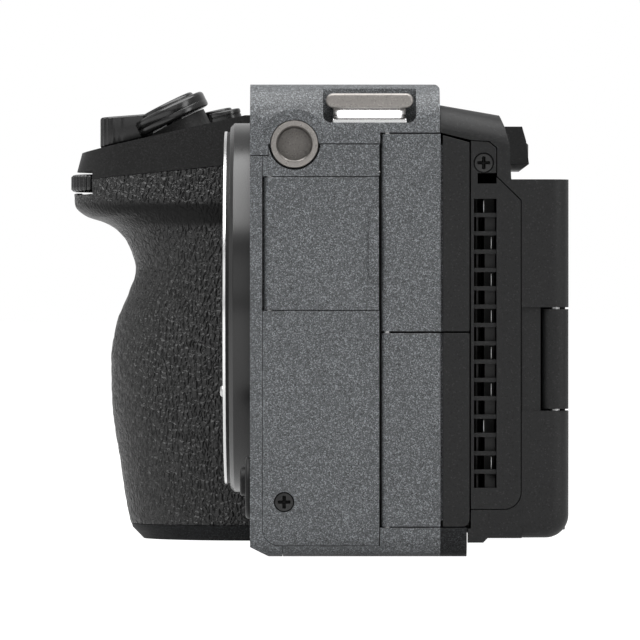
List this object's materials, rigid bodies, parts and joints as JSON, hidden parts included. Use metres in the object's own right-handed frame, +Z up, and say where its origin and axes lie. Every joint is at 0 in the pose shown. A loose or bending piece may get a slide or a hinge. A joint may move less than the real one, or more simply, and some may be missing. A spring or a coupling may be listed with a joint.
{
  "type": "cinema camera",
  "caption": "Compact box-bodied cinema camera with hand grip, open bayonet lens mount, cooling grille, hinged port doors and side-swinging screen.",
  "frame": {"origin": "mouth of the tripod socket in the base, under the sensor plane and the lens axis", "axes": "+X from the lens to the rear, +Y from the left side to the hand grip, +Z up"},
  "size_m": [0.0853, 0.1301, 0.0797],
  "materials": {
    "grey_paint": "fine speckled grey paint",
    "dark_paint": "fine-grained dark grey paint",
    "black_plastic": "satin black with fine specks",
    "black_ring": "gloss black",
    "silver": "turned and polished",
    "steel": "satin",
    "bush_metal": "warm grey anodised",
    "jack_plastic": "moulded",
    "leather": "pebbled black",
    "gold_contact": "plated",
    "sensor_die": "dark sheen",
    "clear_glass": "coated",
    "screen_glass": "gloss black",
    "board": "solder mask",
    "fins": "bare",
    "battery_case": "moulded",
    "card_plastic": "moulded",
    "black_screw": "blackened",
    "dial_metal": "black anodised",
    "record_red": "satin black",
    "stick_rubber": "matte"
  },
  "bodies": {
    "body": {"front_casting": "grey_paint", "top_cover": "grey_paint", "side_panel": "grey_paint", "base_plate": "dark_paint", "port_panel": "black_plastic", "port_connectors": "steel", "audio_jacks": "jack_plastic", "grille_frame": "black_plastic", "rear_cover": "black_plastic", "right_cover": "black_plastic", "grip_leather": "leather", "grip_shell": "black_plastic", "grip_top_cover": "dark_paint", "mount_ring": "black_ring", "mount_flange": "silver", "mount_screws": "steel", "lens_release_pod": "black_plastic", "throat_baffle": "black_plastic", "mount_contacts": "gold_contact", "image_sensor": "sensor_die", "sensor_glass": "clear_glass", "sensor_frame": "black_plastic", "main_board": "board", "fan_housing": "black_plastic", "heat_sink": "fins", "battery_box": "black_plastic", "battery": "battery_case", "card_reader": "steel", "memory_cards": "card_plastic", "strap_lugs": "steel", "side_socket": "bush_metal", "top_sockets": "bush_metal", "tripod_socket": "bush_metal", "accessory_shoe": "steel", "case_screws": "black_screw", "hinge_pins": "steel"},
    "jack_door": {"jack_door": "grey_paint"},
    "upper_door": {"upper_port_door": "grey_paint", "upper_door_trim": "black_plastic"},
    "lower_door": {"lower_port_door": "grey_paint", "lower_door_trim": "black_plastic"},
    "card_door": {"card_door": "black_plastic"},
    "battery_door": {"battery_door": "dark_paint"},
    "battery_latch": {"battery_latch": "black_plastic"},
    "screen": {"screen_shell": "black_plastic", "screen_glass": "screen_glass"},
    "front_dial": {"front_dial": "dial_metal"},
    "rear_dial": {"rear_dial": "dial_metal"},
    "zoom_lever": {"zoom_lever": "dial_metal"},
    "record_button": {"record_button": "record_red"},
    "top_key_front": {"top_key_front": "black_plastic"},
    "top_key_rear": {"top_key_rear": "black_plastic"},
    "control_wheel": {"control_wheel": "dial_metal"},
    "select_key": {"select_key": "black_plastic"},
    "pointer_gimbal": {"pointer_gimbal": "steel"},
    "pointer_stick": {"pointer_stick": "stick_rubber"},
    "menu_key": {"menu_key": "black_plastic"},
    "lock_pin": {"lock_pin": "steel"},
    "lens_release_button": {"lens_release_button": "black_plastic"},
    "fan_rotor": {"fan_rotor": "black_plastic"}
  },
  "joints": [
    {"name": "jack_door_hinge", "type": "hinge", "parent": "body", "child": "jack_door", "pos_m": [-0.0101, -0.0436, 0.051], "axis": [0, 0, -1], "range_deg": [0, 95]},
    {"name": "upper_door_hinge", "type": "hinge", "parent": "body", "child": "upper_door", "pos_m": [0.0092, -0.0436, 0.053], "axis": [0, 0, -1], "range_deg": [0, 95]},
    {"name": "lower_door_hinge", "type": "hinge", "parent": "body", "child": "lower_door", "pos_m": [0.0092, -0.0436, 0.02], "axis": [0, 0, -1], "range_deg": [0, 95]},
    {"name": "card_door_hinge", "type": "hinge", "parent": "body", "child": "card_door", "pos_m": [0.01405, 0.0843, 0.033], "axis": [0, 0, 1], "range_deg": [0, 95]},
    {"name": "battery_door_hinge", "type": "hinge", "parent": "body", "child": "battery_door", "pos_m": [-0.004, 0.04975, 0.0009], "axis": [-1, 0, 0], "range_deg": [0, 95]},
    {"name": "battery_latch_slide", "type": "slide", "parent": "battery_door", "child": "battery_latch", "axis": [0, -1, 0], "range_m": [0, 0.0025]},
    {"name": "screen_swing", "type": "hinge", "parent": "body", "child": "screen", "pos_m": [0.0368, -0.0422, 0.0325], "axis": [0, 0, -1], "range_deg": [0, 176]},
    {"name": "front_dial_spin", "type": "hinge", "parent": "body", "child": "front_dial", "pos_m": [-0.0382, 0.058, 0.0617], "axis": [0, 0, 1], "continuous": true},
    {"name": "rear_dial_spin", "type": "hinge", "parent": "body", "child": "rear_dial", "pos_m": [0.0279, 0.062, 0.0676], "axis": [0, 0, 1], "continuous": true},
    {"name": "zoom_turn", "type": "hinge", "parent": "body", "child": "zoom_lever", "pos_m": [-0.02776, 0.058, 0.07422], "axis": [-0.4478, 0, 0.8942], "range_deg": [-20, 20], "stiffness_Nm_per_rad": 0.005},
    {"name": "record_press", "type": "slide", "parent": "body", "child": "record_button", "axis": [0.4478, 0, -0.8942], "range_m": [0, 0.0007], "stiffness_N_per_m": 400},
    {"name": "top_key_front_press", "type": "slide", "parent": "body", "child": "top_key_front", "axis": [0.2123, 0, -0.9772], "range_m": [0, 0.0005], "stiffness_N_per_m": 400},
    {"name": "top_key_rear_press", "type": "slide", "parent": "body", "child": "top_key_rear", "axis": [0.2123, 0, -0.9772], "range_m": [0, 0.0005], "stiffness_N_per_m": 400},
    {"name": "control_wheel_spin", "type": "hinge", "parent": "body", "child": "control_wheel", "pos_m": [0.0374, 0.062, 0.027], "axis": [1, 0, 0], "continuous": true},
    {"name": "select_press", "type": "slide", "parent": "body", "child": "select_key", "axis": [-1, 0, 0], "range_m": [0, 0.00035], "stiffness_N_per_m": 400},
    {"name": "pointer_tilt", "type": "hinge", "parent": "body", "child": "pointer_gimbal", "pos_m": [0.0344, 0.05, 0.047], "axis": [0, 1, 0], "range_deg": [-8, 8], "stiffness_Nm_per_rad": 0.002},
    {"name": "pointer_pan", "type": "hinge", "parent": "pointer_gimbal", "child": "pointer_stick", "pos_m": [0.0344, 0.05, 0.047], "axis": [0, 0, 1], "range_deg": [-8, 8], "stiffness_Nm_per_rad": 0.002},
    {"name": "menu_press", "type": "slide", "parent": "body", "child": "menu_key", "axis": [-1, 0, 0], "range_m": [0, 0.00035], "stiffness_N_per_m": 400},
    {"name": "release_press", "type": "slide", "parent": "body", "child": "lens_release_button", "axis": [1, 0, 0], "range_m": [0, 0.0012], "stiffness_N_per_m": 400},
    {"name": "lock_pin_draw", "type": "slide", "parent": "body", "child": "lock_pin", "axis": [1, 0, 0], "range_m": [0, 0.0012], "stiffness_N_per_m": 400},
    {"name": "fan_spin", "type": "hinge", "parent": "body", "child": "fan_rotor", "pos_m": [0.015, 0.013, 0.035], "axis": [1, 0, 0], "continuous": true}
  ],
  "couplings": [
    {"joint": "lock_pin_draw", "follows": "release_press", "ratio": 1}
  ]
}
